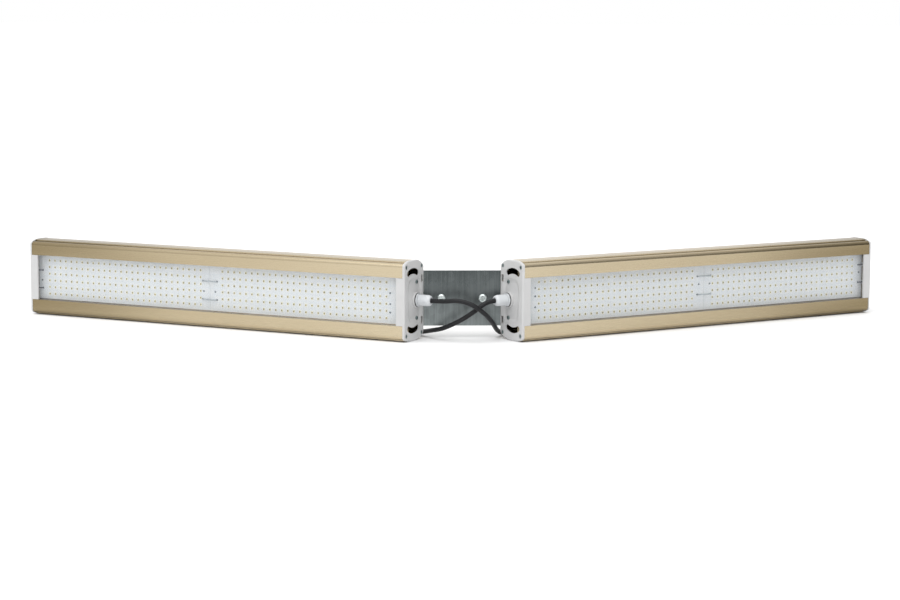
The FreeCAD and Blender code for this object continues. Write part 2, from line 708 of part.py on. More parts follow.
def coil(side):
    """Outer shape of the coiled rest of a cable, a flat spiral of two turns on the surface."""
    radius = CABLE_D / 2
    inner, outer = COIL_RADII
    centre = Vec(mirrored(side, COIL_CENTRE[0]), COIL_CENTRE[1], TIE_THICK)
    ring = Part.makeCylinder(outer + radius, CABLE_D, centre)
    return ring.cut(Part.makeCylinder(inner - radius, CABLE_D, centre))


def coil_tie(side):
    """Strap round all the coil's turns, where the spiral starts and ends."""
    radius = CABLE_D / 2
    near = COIL_CENTRE[0] - COIL_RADII[1] - radius - 0.1
    far = COIL_CENTRE[0] - COIL_RADII[0] + radius + 1.2
    start = COIL_CENTRE[1] + TIE_START
    end = start + TIE_WIDTH
    top = TIE_THICK + CABLE_D + 0.35
    outside_x = sorted(mirrored(side, x) for x in (near - TIE_THICK, far + TIE_THICK))
    inside_x = sorted(mirrored(side, x) for x in (near, far))
    outside = box(outside_x, (start, end), (0, top + TIE_THICK))
    inside = box(inside_x, (start - 1, end + 1), (TIE_THICK, top))
    return outside.cut(inside)


def cable_cores(side):
    """Three stripped cores that fan out of the cable's end and droop onto the surface."""
    before, end = tail_route(side)[-2:]
    heading = end - before
    heading.normalize()
    across = Vec(-heading.y, heading.x, 0)
    cores = []
    for offset, up in CORE_PLACES:
        start = end + across * offset + Vec(0, 0, up)
        tip = end + heading * CORE_LENGTH + across * (CORE_SPREAD * offset / CORE_PLACES[-1][0])
        tip.z = CORE_D / 2 + 0.2
        cores.append(Part.makeCylinder(CORE_D / 2, CORE_LENGTH, start, tip - start))
    return cores


def main():
    bar = {
        "housing": [housing()],
        "clear_cover": [clear_cover()],
        "inner_end_cap": [end_cap(True)],
        "outer_end_cap": [at_outer_end(end_cap(False))],
        "inner_cap_screws": corner_screws() + middle_screws(),
        "outer_cap_screws": [at_outer_end(s) for s in corner_screws()],
        "led_board_inner": [led_board("inner")],
        "led_board_outer": [led_board("outer")],
        "leds_inner": leds("inner"),
        "leds_outer": leds("outer"),
        "jumper_wires": jumper_wires(),
        "supply_wires": supply_wires(),
        "driver_tray": [driver_tray()],
        "driver": [driver()],
        "driver_screws": driver_screws(),
        "terminal_block": [terminal_block()],
        "driver_leads": driver_leads(),
        "gland_gasket": [gland_gasket()],
        "gland_body": [gland_body()],
        "gland_locknut": [gland_locknut()],
        "gland_seal": [gland_seal()],
        "gland_nut": [gland_nut()],
        "cable_entry": [cable_entry()],
        "slot_bolts": at_slot_bolts(slot_bolt),
        "slot_nuts": at_slot_bolts(slot_nut),
    }
    for name, shapes in bar.items():
        for side in ("left", "right"):
            NODES[side + "_" + name] = [placed(s, side) for s in shapes]

    slot_holes = at_slot_bolts(lambda x, z: rod_y(2.75, BAR_DEPTH - 5, BAR_DEPTH + 8, x, z))
    holes = [placed(h, side) for side in ("left", "right") for h in slot_holes]
    NODES["bracket_plate"] = [bracket_plate().cut(holes)]
    bolt_places = (-CENTRE_BOLT_X, CENTRE_BOLT_X)
    NODES["centre_bolts"] = in_pair([centre_bolt(x) for x in bolt_places])
    NODES["centre_washers"] = in_pair([centre_washer(x) for x in bolt_places])
    NODES["centre_nuts"] = in_pair([centre_nut(x) for x in bolt_places])

    for side in ("left", "right"):
        route = [Vec(*p) for p in ROUTES[side]]
        run, length, radii = tube(route, CABLE_D)
        tail, tail_length, tail_radii = tube(tail_route(side), CABLE_D)
        section = math.pi * CABLE_D ** 2 / 4
        wound = 2 * math.pi * sum(COIL_RADII)
        total = length + wound + tail_length
        print(side, "cable", [round(part, 1) for part in (length, wound, tail_length, total)])
        print("  volume over section x length", round(run.Volume / section / length, 4),
              round(tail.Volume / section / tail_length, 4))
        print("  radii", [round(r, 1) for r in radii + tail_radii])
        NODES[side + "_cable"] = [run, tail]
        NODES[side + "_cable_coil"] = [coil(side)]
        NODES[side + "_coil_tie"] = [coil_tie(side)]
        NODES[side + "_cable_cores"] = cable_cores(side)

    os.makedirs("parts", exist_ok=True)
    for name, shapes in NODES.items():
        shape = shapes[0] if len(shapes) == 1 else Part.makeCompound(shapes)
        shape.exportStep("parts/" + name + ".step")
    whole = Part.makeCompound([s for n, shapes in NODES.items() for s in shapes if "cable" not in n])
    print("nodes", len(NODES), "box", whole.BoundBox)


main()
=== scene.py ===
import json
import math

import bmesh
import bpy
from mathutils import Matrix, Vector


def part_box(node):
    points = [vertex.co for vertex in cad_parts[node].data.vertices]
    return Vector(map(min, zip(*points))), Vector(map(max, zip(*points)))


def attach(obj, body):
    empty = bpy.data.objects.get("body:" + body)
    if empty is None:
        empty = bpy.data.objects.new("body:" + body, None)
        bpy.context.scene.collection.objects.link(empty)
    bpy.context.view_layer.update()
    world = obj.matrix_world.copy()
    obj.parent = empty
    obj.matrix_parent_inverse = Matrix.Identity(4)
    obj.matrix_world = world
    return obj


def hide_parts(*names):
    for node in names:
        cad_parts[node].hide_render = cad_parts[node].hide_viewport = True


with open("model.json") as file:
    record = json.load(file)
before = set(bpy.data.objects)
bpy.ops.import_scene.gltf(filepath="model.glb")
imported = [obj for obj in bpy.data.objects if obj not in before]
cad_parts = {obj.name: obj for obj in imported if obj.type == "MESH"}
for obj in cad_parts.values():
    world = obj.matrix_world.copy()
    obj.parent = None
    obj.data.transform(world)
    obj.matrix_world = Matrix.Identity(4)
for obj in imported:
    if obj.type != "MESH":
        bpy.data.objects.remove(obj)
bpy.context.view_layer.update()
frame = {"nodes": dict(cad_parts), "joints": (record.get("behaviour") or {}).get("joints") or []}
nodes = frame["nodes"]

MM = 0.001
SIDES = ("left", "right")

# ---- the bars, in metres ----
# Along a bar from its inner end, back from its lit face, and across it from its middle.
GLAND_BACK = 36 * MM        # the gland's axis behind the lit face
JOINT_OUT = 15 * MM         # where a gland nut's joint is, outside the bar's inner end
BAR_LENGTH = 640 * MM
BOARD_FACE = 12.4 * MM
LED_PITCH = 10 * MM
LED_COLUMNS = 28
LED_ROWS = 6
LED_SIZE = (2.8 * MM, 0.8 * MM, 3.5 * MM)
# The steps into an LED's lit face: inset, depth and which of its materials.
LED_STEPS = ((0.25 * MM, 0.08 * MM, 1), (0.62 * MM, 0.04 * MM, 2))
FIRST_COLUMN = {"inner": 35.5 * MM, "outer": 342.9 * MM}

# ---- cables ----
CABLE_D = 6.5 * MM
COIL_CENTRE = (113.6 * MM, -32 * MM)
COIL_RADII = (43.6 * MM, 30 * MM)
COIL_TURNS = 2
TURN_POINTS = 16
LAY_HEIGHT = 4.05 * MM      # middle of the coil's turns, which lie on their tie
CORE_R = 1.2 * MM
CORE_LENGTH = 22 * MM
STRIPPED = 6 * MM
CORE_PLACES = ((-1.23, -0.7), (0.0, 1.42), (1.23, -0.7))
CORE_SPREAD = 4.5 * MM
CORE_LIFT = 0.2 * MM        # of a core's tip off the surface
STRAND_R = 0.3 * MM
STRANDS_ROUND = 6           # bare strands round the middle one
STRAND_HELD = 1 * MM        # how far a strand reaches into its insulation
CORE_COLOURS = ("brown", "green_yellow", "blue")


def bar_frame(side):
    """Matrix that takes a bar's own (along, back, across) to the row frame."""
    joint = next(j for j in frame["joints"] if j["name"] == side + "_gland_nut_turn")
    along = -Vector(joint["axis"])
    across = Vector((0, 0, 1 if side == "right" else -1))
    back = across.cross(along)
    origin = Vector(joint["pos_m"]) + along * JOINT_OUT - back * GLAND_BACK
    turned = Matrix((along, back, across)).transposed().to_4x4()
    return Matrix.Translation(origin) @ turned


BAR = {side: bar_frame(side) for side in SIDES}
UPRIGHT = Matrix.Identity(4)


# ---- camera ----

VIEW_TURN = math.radians(2.42)
VIEW_DROP = math.radians(7.07)
VIEW_ROLL = math.radians(0.21)
VIEW_DISTANCE = 3.246
VIEW_SHIFT = Vector((-18.8 * MM, 0, 3.5 * MM))
LENS = 94.3
SENSOR_WIDTH = 36
FAR_END = 200


def add_camera():
    """Stands in front of the pair, a little to its left and above it."""
    camera = bpy.data.objects.new("camera", bpy.data.cameras.new("camera"))
    bpy.context.scene.collection.objects.link(camera)
    camera.data.lens = LENS
    camera.data.sensor_width = SENSOR_WIDTH
    camera.data.clip_end = FAR_END
    middle = (BAR["left"].translation + BAR["right"].translation) / 2
    away = Vector((0, -math.cos(VIEW_DROP), math.sin(VIEW_DROP))) * VIEW_DISTANCE
    turn = Matrix.Rotation(-VIEW_TURN, 4, "Z")
    place = Matrix.Translation(middle + turn @ (VIEW_SHIFT + away))
    tilt = Matrix.Rotation(math.pi / 2 - VIEW_DROP, 4, "X") @ Matrix.Rotation(VIEW_ROLL, 4, "Z")
    camera.matrix_world = place @ turn @ tilt
    bpy.context.scene.camera = camera


# ---- cables ----

# From the gland's mouth to the coil, as in the part's source, in millimetres.
ROUTES = {
    "left": [
        (-43.89, -164.02, 56.4), (-26.4, -174.12, 56.4), (-7.5, -182.0, 59.2), (12.0, -187.0, 54.0),
        (28.5, -182.5, 41.5), (39.0, -166.5, 29.0), (45.0, -147.5, 18.6), (50.3, -130.5, 9.8),
        (56.4, -113.5, 5.0), (62.8, -95.0, 3.3), (67.5, -74.0, 3.3), (70.2, -52.0, 3.9),
        (70.0, -32.0, 4.05),
    ],
    "right": [
        (43.89, -164.02, 56.4), (32.5, -170.6, 55.6), (17.5, -174.8, 44.2), (1.5, -174.8, 33.0),
        (-14.5, -167.5, 23.6), (-29.5, -152.5, 15.4), (-42.0, -133.0, 10.9), (-52.5, -115.5, 6.8),
        (-60.5, -97.0, 3.6), (-66.8, -75.0, 3.3), (-70.2, -52.0, 3.9), (-70.0, -32.0, 4.05),
    ],
}
# From the coil's centre, in millimetres: out of the inner turn, over the others and down behind.
TAIL = [
    (-30.0, 0.0, 4.05), (-28.4, 10.5, 4.6), (-23.4, 20.2, 8.2), (-14.5, 29.0, 11.2),
    (-2.5, 35.9, 11.4), (12.0, 41.2, 11.4), (28.0, 45.8, 7.4), (44.0, 48.5, 3.8), (60.0, 49.5, 3.3),
]
LONGER_BY = (78.0, 48.0, 3.4)       # the right cable's last point


def from_coil(side, x, y, z):
    """A point given from the middle of a cable's coil; the left cable's coil is the right one."""
    sign = 1 if side == "left" else -1
    return Vector((sign * (COIL_CENTRE[0] + x), COIL_CENTRE[1] + y, z))


def coil_points(side):
    """The turns of the flat spiral, from its outside to its inside."""
    outer, inner = COIL_RADII
    half_step = math.pi / TURN_POINTS
    # The smooth line runs inside its control points, so these stand out from the turns.
    stand_out = 1 / (0.75 + 0.25 * math.cos(2 * half_step))
    points = []
    for step in range(1, COIL_TURNS * TURN_POINTS):
        share = step / (COIL_TURNS * TURN_POINTS)
        radius = (outer + (inner - outer) * share) * stand_out
        turn = math.pi - 2 * half_step * step
        points.append(from_coil(side, radius * math.cos(turn), radius * math.sin(turn), LAY_HEIGHT))
    return points


def tail_points(side):
    """The cable's free end, from the coil's inside to where it is stripped."""
    points = TAIL if side == "left" else TAIL + [LONGER_BY]
    return [from_coil(side, x * MM, y * MM, z * MM) for x, y, z in points]


def add_cable(side, sheath):
    """The whole cable as one line, from the gland through the coil to its stripped end."""
    points = [Vector(p) * MM for p in ROUTES[side]] + coil_points(side) + tail_points(side)
    curve = bpy.data.curves.new(side + "_cable_line", "CURVE")
    curve.dimensions = "3D"
    curve.bevel_depth = CABLE_D / 2
    curve.bevel_resolution = 6
    curve.use_fill_caps = True
    curve.resolution_u = 8
    spline = curve.splines.new("NURBS")
    spline.points.add(len(points) - 1)
    for control, point in zip(spline.points, points):
        control.co = (*point, 1)
    spline.order_u = 3
    spline.use_endpoint_u = True
    cable = bpy.data.objects.new(side + "_cable_line", curve)
    bpy.context.scene.collection.objects.link(cable)
    curve.materials.append(sheath)
    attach(cable, "luminaire")
    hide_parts(side + "_cable", side + "_cable_coil")
    return cable


# ---- making pieces ----

def add_piece(name, mesh, place, materials, smooth_angle=40):
    """Turns a bmesh into a finished piece, with its place in its mesh."""
    bmesh.ops.transform(mesh, matrix=place, verts=mesh.verts)
    data = bpy.data.meshes.new(name)
    mesh.to_mesh(data)
    mesh.free()
    data.shade_smooth()
    data.set_sharp_from_angle(angle=math.radians(smooth_angle))
    for material in materials:
        data.materials.append(material)
    piece = bpy.data.objects.new(name, data)
    bpy.context.scene.collection.objects.link(piece)
    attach(piece, "luminaire")
    return piece


def add_block(mesh, size, centre=(0, 0, 0)):
    """A box in a bmesh; returns its vertices."""
    made = bmesh.ops.create_cube(mesh, size=1)["verts"]
    bmesh.ops.scale(mesh, vec=size, verts=made)
    bmesh.ops.translate(mesh, vec=centre, verts=made)
    return made


def faces_of(verts):
    """The faces at these vertices, each once and always in the same order."""
    return list(dict.fromkeys(face for vert in verts for face in vert.link_faces))


def edges_of(verts):
    """The edges at these vertices, each once and always in the same order."""
    return list(dict.fromkeys(edge for vert in verts for edge in vert.link_edges))


def round_edges(mesh, edges, radius, segments=2):
    """Rounds these edges of a bmesh."""
    bmesh.ops.bevel(
        mesh, geom=edges, offset=radius, segments=segments, profile=0.5, affect="EDGES", material=-1
    )


# ---- materials ----

# Nearly all of a noise's values lie between these.
NOISE_LOW = 0.3
NOISE_HIGH = 0.7


def even(size):
    """The same feature size in all three directions."""
    return (size, size, size)


def start_material(name, colour, roughness, metallic=0.0):
    """A material with its Principled shader set; returns it, its node tree and the shader."""
    material = bpy.data.materials.new(name)
    material.use_nodes = True
    shader = material.node_tree.nodes["Principled BSDF"]
    shader.inputs["Base Color"].default_value = (*colour, 1)
    shader.inputs["Roughness"].default_value = roughness
    shader.inputs["Metallic"].default_value = metallic
    return material, material.node_tree, shader


def add_coords(tree, place=UPRIGHT, size=(1, 1, 1)):
    """Object coordinates along a piece's own directions, counted in features of this size."""
    source = tree.nodes.new("ShaderNodeTexCoord")
    mapping = tree.nodes.new("ShaderNodeMapping")
    mapping.vector_type = "TEXTURE"
    mapping.inputs["Location"].default_value = place.translation
    mapping.inputs["Rotation"].default_value = place.to_euler()
    mapping.inputs["Scale"].default_value = size
    tree.links.new(source.outputs["Object"], mapping.inputs["Vector"])
    return mapping.outputs["Vector"]


def add_noise(tree, coords, detail=2.0, roughness=0.5):
    """Noise whose features are as large as one unit of these coordinates."""
    noise = tree.nodes.new("ShaderNodeTexNoise")
    noise.inputs["Scale"].default_value = 1
    noise.inputs["Detail"].default_value = detail
    noise.inputs["Roughness"].default_value = roughness
    tree.links.new(coords, noise.inputs["Vector"])
    return noise.outputs["Fac"]


def add_ramp(tree, value, stops, target):
    """Colours along a value, into a shader's socket; stops are (value, colour)."""
    ramp = tree.nodes.new("ShaderNodeValToRGB")
    elements = ramp.color_ramp.elements
    while len(elements) < len(stops):
        elements.new(0.5)
    for element, (position, colour) in zip(elements, stops):
        element.position = position
        element.color = (*colour, 1)
    tree.links.new(value, ramp.inputs["Fac"])
    tree.links.new(ramp.outputs["Color"], target)


def add_tones(tree, noise, darker, lighter, target):
    """Two colours over the middle of a noise, into a shader's socket."""
    add_ramp(tree, noise, [(NOISE_LOW, darker), (NOISE_HIGH, lighter)], target)


def add_range(tree, value, low, high, target):
    """Spreads the middle of a noise over a range, into a shader's socket."""
    spread = tree.nodes.new("ShaderNodeMapRange")
    spread.inputs["From Min"].default_value = NOISE_LOW
    spread.inputs["From Max"].default_value = NOISE_HIGH
    spread.inputs["To Min"].default_value = low
    spread.inputs["To Max"].default_value = high
    tree.links.new(value, spread.inputs["Value"])
    tree.links.new(spread.outputs["Result"], target)


def add_bump(tree, height, shader, depth, strength):
    """Fine relief of this depth, in metres."""
    bump = tree.nodes.new("ShaderNodeBump")
    bump.inputs["Strength"].default_value = strength
    bump.inputs["Distance"].default_value = depth
    tree.links.new(height, bump.inputs["Height"])
    tree.links.new(bump.outputs["Normal"], shader.inputs["Normal"])


def add_sum(tree, first, second, share):
    """A weighted sum of two values; share is the second one's weight."""
    mix = tree.nodes.new("ShaderNodeMix")
    mix.data_type = "FLOAT"
    mix.inputs["Factor"].default_value = share
    tree.links.new(first, mix.inputs["A"])
    tree.links.new(second, mix.inputs["B"])
    return mix.outputs["Result"]


def gold_anodised(side):
    """Satin champagne anodising, brushed along the bar, with painted light and shade: lighter at
    its inner end and much deeper towards its outer end.
    """
    material, tree, shader = start_material(side + "_gold_anodised", (0.55, 0.44, 0.26), 0.26, 1.0)
    lines = add_noise(tree, add_coords(tree, BAR[side], (6.0, 0.0007, 0.0007)))
    cloud = add_noise(tree, add_coords(tree, BAR[side], (0.3, 0.06, 0.06)), 1.0)
    grain = add_noise(tree, add_coords(tree, size=even(0.0005)), 1.0)
    # Painted light and shade along the bar: the base colour runs from lighter at the inner end to
    # darker at the outer end.
    along = tree.nodes.new("ShaderNodeSeparateXYZ")
    painted_shade_coords = add_coords(tree, BAR[side], even(BAR_LENGTH))
    tree.links.new(painted_shade_coords, along.inputs["Vector"])
    tone = add_sum(tree, add_sum(tree, lines, cloud, 0.85), along.outputs["X"], 0.6)
    stops = [(0.15, (0.61, 0.52, 0.365)), (0.5, (0.50, 0.415, 0.275)), (0.85, (0.26, 0.205, 0.115))]
    add_ramp(tree, tone, stops, shader.inputs["Base Color"])
    add_range(tree, lines, 0.23, 0.29, shader.inputs["Roughness"])
    add_bump(tree, grain, shader, depth=0.00002, strength=0.3)
    return material


def moulded_white(name, colour, roughness):
    """White plastic with the faint grain of its mould."""
    material, tree, shader = start_material(name, colour, roughness)
    cloud = add_noise(tree, add_coords(tree, size=even(0.02)), 3.0)
    grain = add_noise(tree, add_coords(tree, size=even(0.0007)))
    darker = [channel * 0.95 for channel in colour]
    add_tones(tree, cloud, darker, colour, shader.inputs["Base Color"])
    add_range(tree, cloud, roughness - 0.04, roughness + 0.05, shader.inputs["Roughness"])
    add_bump(tree, grain, shader, depth=0.00004, strength=0.35)
    return material


def clear_cover_plastic():
    """The thin cover over a bar's boards, which hardly shows."""
    material, _, shader = start_material("clear_plastic", (0.95, 0.97, 1.0), 0.06)
    shader.inputs["Alpha"].default_value = 0.06
    shader.inputs["IOR"].default_value = 1.5
    return material


def board_mask(side):
    """White solder mask; the copper tracks below it show as faint blue-grey lines."""
    material, tree, shader = start_material(side + "_board_mask", (0.62, 0.66, 0.68), 0.42)
    coords = add_coords(tree, BAR[side], even(LED_PITCH))
    brick = tree.nodes.new("ShaderNodeTexBrick")
    brick.offset = 0
    brick.inputs["Scale"].default_value = 1
    brick.inputs["Mortar Size"].default_value = 0.10
    brick.inputs["Mortar Smooth"].default_value = 1.0
    brick.inputs["Brick Width"].default_value = 1
    brick.inputs["Row Height"].default_value = 1
    brick.inputs["Color1"].default_value = (0.64, 0.665, 0.68, 1)
    brick.inputs["Color2"].default_value = (0.615, 0.65, 0.675, 1)
    brick.inputs["Mortar"].default_value = (0.59, 0.635, 0.675, 1)
    lay_flat = tree.nodes.new("ShaderNodeMapping")
    lay_flat.inputs["Rotation"].default_value = (math.pi / 2, 0, 0)
    tree.links.new(coords, lay_flat.inputs["Vector"])
    tree.links.new(lay_flat.outputs["Vector"], brick.inputs["Vector"])
    tree.links.new(brick.outputs["Color"], shader.inputs["Base Color"])
    cloud = add_noise(tree, add_coords(tree, BAR[side], (0.05, 0.05, 0.02)))
    add_range(tree, cloud, 0.36, 0.48, shader.inputs["Roughness"])
    return material


def plain_plastic(name, colour, roughness, size=0.004, gloss=0.5):
    """Plastic or rubber with an uneven tone and surface, in patches of this size."""
    material, tree, shader = start_material(name, colour, roughness)
    shader.inputs["Specular IOR Level"].default_value = gloss
    noise = add_noise(tree, add_coords(tree, size=even(size)), 3.0)
    darker = [channel * 0.82 for channel in colour]
    lighter = [min(1.0, channel * 1.1) for channel in colour]
    add_tones(tree, noise, darker, lighter, shader.inputs["Base Color"])
    add_range(tree, noise, roughness - 0.06, roughness + 0.08, shader.inputs["Roughness"])
    return material


def cable_sheath():
    """Black flexible sheath, nearly matt, with a fine grain."""
    material, tree, shader = start_material("black_sheath", (0.014, 0.014, 0.016), 0.42)
    shader.inputs["Specular IOR Level"].default_value = 0.22
    soft = add_noise(tree, add_coords(tree, size=even(0.012)))
    fine = add_noise(tree, add_coords(tree, size=even(0.0006)))
    darker, lighter = (0.010, 0.010, 0.011), (0.019, 0.019, 0.021)
    add_tones(tree, soft, darker, lighter, shader.inputs["Base Color"])
    add_range(tree, soft, 0.34, 0.50, shader.inputs["Roughness"])
    add_bump(tree, fine, shader, depth=0.00003, strength=0.5)
    return material


def bright_zinc():
    """Zinc-plated steel with a fine uneven sheen."""
    material, tree, shader = start_material("bright_zinc", (0.72, 0.78, 0.77), 0.28, 1.0)
    cloud = add_noise(tree, add_coords(tree, size=even(0.004)), 3.0)
    darker, lighter = (0.60, 0.67, 0.66), (0.82, 0.87, 0.86)
    add_tones(tree, cloud, darker, lighter, shader.inputs["Base Color"])
    add_range(tree, cloud, 0.22, 0.38, shader.inputs["Roughness"])
    return material


PAINTED_SHADE_TOP = 0.11            # where the painted shade at the sheet's top starts


def galvanised_sheet():
    """Galvanised sheet: grey zinc with upright roller streaks, and painted shade that darkens it
    towards the top.
    """
    material, tree, shader = start_material("galvanised_sheet", (0.20, 0.22, 0.22), 0.34, 1.0)
    streaks = add_noise(tree, add_coords(tree, size=(0.0022, 0.0022, 0.12)), 4.0, 0.65)
    cloud = add_noise(tree, add_coords(tree, size=(0.03, 0.03, 0.02)), 3.0)
    spangle = tree.nodes.new("ShaderNodeTexVoronoi")
    spangle.inputs["Scale"].default_value = 1
    tree.links.new(add_coords(tree, size=(0.007, 0.007, 0.012)), spangle.inputs["Vector"])
    facets = tree.nodes.new("ShaderNodeSeparateColor")
    tree.links.new(spangle.outputs["Color"], facets.inputs["Color"])
    # Painted shade: the sheet's colour is made darker towards its top and lighter below.
    upright = tree.nodes.new("ShaderNodeSeparateXYZ")
    top = Matrix.Translation((0, 0, PAINTED_SHADE_TOP))
    painted_shade_from_top = add_coords(tree, top, (1, 1, -PAINTED_SHADE_TOP))
    tree.links.new(painted_shade_from_top, upright.inputs["Vector"])
    tone = add_sum(tree, add_sum(tree, streaks, cloud, 0.3), facets.outputs["Red"], 0.1)
    tone = add_sum(tree, tone, upright.outputs["Z"], 0.45)
    stops = [(0.3, (0.072, 0.082, 0.083)), (0.5, (0.135, 0.15, 0.151)), (0.7, (0.235, 0.26, 0.26))]
    add_ramp(tree, tone, stops, shader.inputs["Base Color"])
    add_range(tree, tone, 0.24, 0.38, shader.inputs["Roughness"])
    add_bump(tree, streaks, shader, depth=0.00005, strength=0.4)
    return material


def bare_metal(name, colour, roughness):
    """Plain metal with a faint grain."""
    material, tree, shader = start_material(name, colour, roughness, 1.0)
    cloud = add_noise(tree, add_coords(tree, size=(0.006, 0.006, 0.002)), 4.0)
    darker = [channel * 0.85 for channel in colour]
    add_tones(tree, cloud, darker, colour, shader.inputs["Base Color"])
    add_range(tree, cloud, roughness - 0.06, roughness + 0.08, shader.inputs["Roughness"])
    return material


def dress_nodes(materials):
    """Gives every CAD node the finish of its kind."""
    for side in SIDES:
        for part, finish in materials[side].items():
            for slot in nodes[side + "_" + part].material_slots:
                slot.material = finish
    for part, finish in materials["pair"].items():
        for slot in nodes[part].material_slots:
            slot.material = finish


# ---- boards ----

def led_template(mesh):
    """One LED: a cream package with a sunk yellow face round a dark middle."""
    thick = LED_SIZE[1]
    add_block(mesh, LED_SIZE, (0, -thick / 2, 0))
    for inset, sink, material in LED_STEPS:
        front = min(mesh.faces, key=lambda face: (round(face.normal.y, 3), face.calc_area()))
        bmesh.ops.inset_region(mesh, faces=[front], thickness=inset, depth=-sink)
        front.material_index = material


def add_leds(side, which, finishes):
    """All the LEDs of one board, as one piece."""
    mesh = bmesh.new()
    led_template(mesh)
    template = mesh.verts[:] + mesh.edges[:] + mesh.faces[:]
    for column in range(LED_COLUMNS):
        for row in range(LED_ROWS):
            copied = bmesh.ops.duplicate(mesh, geom=template)["geom"]
            along = FIRST_COLUMN[which] + column * LED_PITCH
            across = (row - (LED_ROWS - 1) / 2) * LED_PITCH
            verts = [item for item in copied if isinstance(item, bmesh.types.BMVert)]
            bmesh.ops.translate(mesh, vec=(along, BOARD_FACE, across), verts=verts)
    bmesh.ops.delete(mesh, geom=[item for item in template if isinstance(item, bmesh.types.BMVert)])
    leds = add_piece(f"{side}_led_field_{which}", mesh, BAR[side], finishes)
    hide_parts(f"{side}_leds_{which}")


# Solder pads on the boards, along and across the bar.
PADS = [
    (29.7, 17.0), (29.7, 5.3), (29.7, -10.0), (315.2, 16.8), (315.2, -9.85), (317.9, 5.1),
    (339.4, 16.8), (339.4, -9.85), (337.7, 5.1), (625.5, 16.8), (625.5, -9.85), (627.0, 5.1),
]
PAD_R = 1.5 * MM
PAD_TOP_R = PAD_R * 0.55
PAD_HEIGHT = 0.5 * MM
PAD_ROUND = 0.2 * MM


def add_pads(side, solder):
    """The blobs of solder under the wires' ends."""
    mesh = bmesh.new()
    for along, across in PADS:
        made = bmesh.ops.create_cone(
            mesh, cap_ends=True, segments=16, radius1=PAD_R, radius2=PAD_TOP_R, depth=PAD_HEIGHT
        )["verts"]
        turn = Matrix.Rotation(math.pi / 2, 4, "X")
        place = Matrix.Translation((along * MM, BOARD_FACE - PAD_HEIGHT / 2, across * MM))
        bmesh.ops.transform(mesh, matrix=place @ turn, verts=made)
        top = min(faces_of(made), key=lambda face: face.calc_center_median().y)
        round_edges(mesh, list(top.edges), PAD_ROUND)
    add_piece(side + "_solder_pads", mesh, BAR[side], [solder])


# ---- what is on the cables ----

def add_rod(mesh, radius, low, high, middle, segments, material):
    """A round rod along Z in a bmesh, from low to high, with its middle line at this x and y."""
    made = bmesh.ops.create_cone(
        mesh, cap_ends=True, segments=segments, radius1=radius, radius2=radius, depth=high - low
    )["verts"]
    bmesh.ops.translate(mesh, vec=(*middle, (low + high) / 2), verts=made)
    for face in faces_of(made):
        face.material_index = material


def strand_places():
    """One strand in the middle and the others in a ring that touches it."""
    ring = [2 * math.pi * k / STRANDS_ROUND for k in range(STRANDS_ROUND)]
    apart = 2 * STRAND_R
    return [(0, 0)] + [(math.cos(a) * apart, math.sin(a) * apart) for a in ring]


def add_cores(side, finishes, copper):
    """Three insulated cores that fan out of the cable's end, each with seven bare strands."""
    before, end = tail_points(side)[-2:]
    heading = (end - before).normalized()
    across = Vector((-heading.y, heading.x, 0))
    outermost = CORE_PLACES[-1][0]
    covered = CORE_LENGTH - STRIPPED
    cores = []
    for (offset, up), colour in zip(CORE_PLACES, CORE_COLOURS):
        start = end + across * (offset * MM) + Vector((0, 0, up * MM))
        tip = end + heading * CORE_LENGTH + across * (CORE_SPREAD * offset / outermost)
        tip.z = CORE_R + CORE_LIFT
        turn = (tip - start).to_track_quat("Z", "Y").to_matrix().to_4x4()
        place = Matrix.Translation(start) @ turn
        mesh = bmesh.new()
        add_rod(mesh, CORE_R, 0, covered, (0, 0), 20, 0)
        for middle in strand_places():
            add_rod(mesh, STRAND_R, covered - STRAND_HELD, CORE_LENGTH, middle, 8, 1)
        name = f"{side}_core_{colour}"
        core = add_piece(name, mesh, place, [finishes[colour], copper])
        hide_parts(side + "_cable_cores")
        cores.append(core)
    return cores


STRAP_ROUND = 2.2 * MM
STRAP_THICK = 0.75 * MM
LOCK_SIZE = (5.6 * MM, 6.4 * MM, 3.6 * MM)
LOCK_RISE = 1.2 * MM        # of the lock's middle above the strap
LOCK_ROUND = 0.5 * MM
STRAP_END_SIZE = (9 * MM, 4 * MM, 0.9 * MM)
STRAP_END_OUT = 6 * MM
STRAP_END_RISE = 1.4 * MM
STRAP_END_ROUND = 0.2 * MM


def add_tie(side, finish):
    """A strap round the coil's turns with its lock on top."""
    low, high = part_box(side + "_coil_tie")
    size = high - low
    centre = (low + high) / 2
    mesh = bmesh.new()
    band = add_block(mesh, size, centre)
    ends = [face for face in faces_of(band) if abs(face.normal.y) > 0.9]
    bmesh.ops.delete(mesh, geom=ends, context="FACES_ONLY")
    corners = [
        edge for edge in mesh.edges if abs((edge.verts[0].co - edge.verts[1].co).y) > size.y / 2
    ]
    round_edges(mesh, corners, STRAP_ROUND, segments=4)
    bmesh.ops.solidify(mesh, geom=mesh.faces[:], thickness=STRAP_THICK)
    bmesh.ops.recalc_face_normals(mesh, faces=mesh.faces[:])
    lock_place = (centre.x, centre.y, high.z + LOCK_RISE)
    lock = add_block(mesh, LOCK_SIZE, lock_place)
    round_edges(mesh, edges_of(lock), LOCK_ROUND)
    end_place = (centre.x + STRAP_END_OUT, centre.y, high.z + STRAP_END_RISE)
    end = add_block(mesh, STRAP_END_SIZE, end_place)
    round_edges(mesh, edges_of(end), STRAP_END_ROUND, segments=1)
    tie = add_piece(side + "_coil_strap", mesh, UPRIGHT, [finish])
    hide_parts(side + "_coil_tie")
    return tie


# ---- floor and light ----

FLOOR_R = 60
# Brightness of the walls from the far left, at 0, to the far right, at 1.
WALL_TONES = [
    (0.01, 0.8), (0.1, 1.0), (0.37, 1.0), (0.63, 1.0), (0.75, 0.85), (0.88, 0.5), (0.98, 0.15),
]


